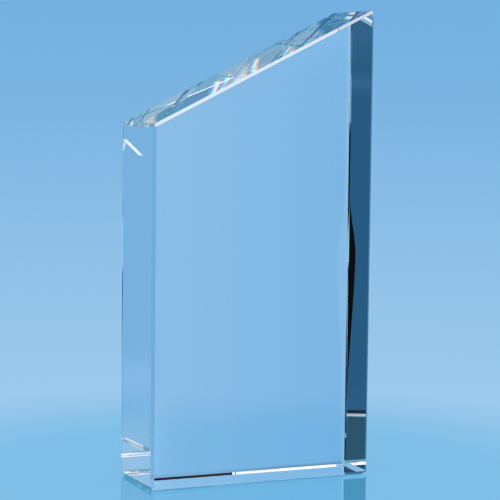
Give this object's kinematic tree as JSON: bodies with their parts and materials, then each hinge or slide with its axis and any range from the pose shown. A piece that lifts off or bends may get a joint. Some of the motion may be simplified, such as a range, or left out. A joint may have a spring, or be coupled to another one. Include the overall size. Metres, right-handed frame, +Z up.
{
  "type": "crystal award",
  "caption": "Clear crystal award block: an upright slab whose plain top slopes up from its short side to its tall side, with narrow chamfered edges and a flat base to stand on.",
  "frame": {"origin": "centre of the flat face that the block stands on", "axes": "+X from the short side to the tall side, +Y from the front to the back, +Z up"},
  "size_m": [0.1, 0.038, 0.1995],
  "materials": {
    "optical_crystal": "clear, flat-ground and polished on every face"
  },
  "bodies": {
    "root": {"crystal_block": "optical_crystal"}
  },
  "joints": []
}
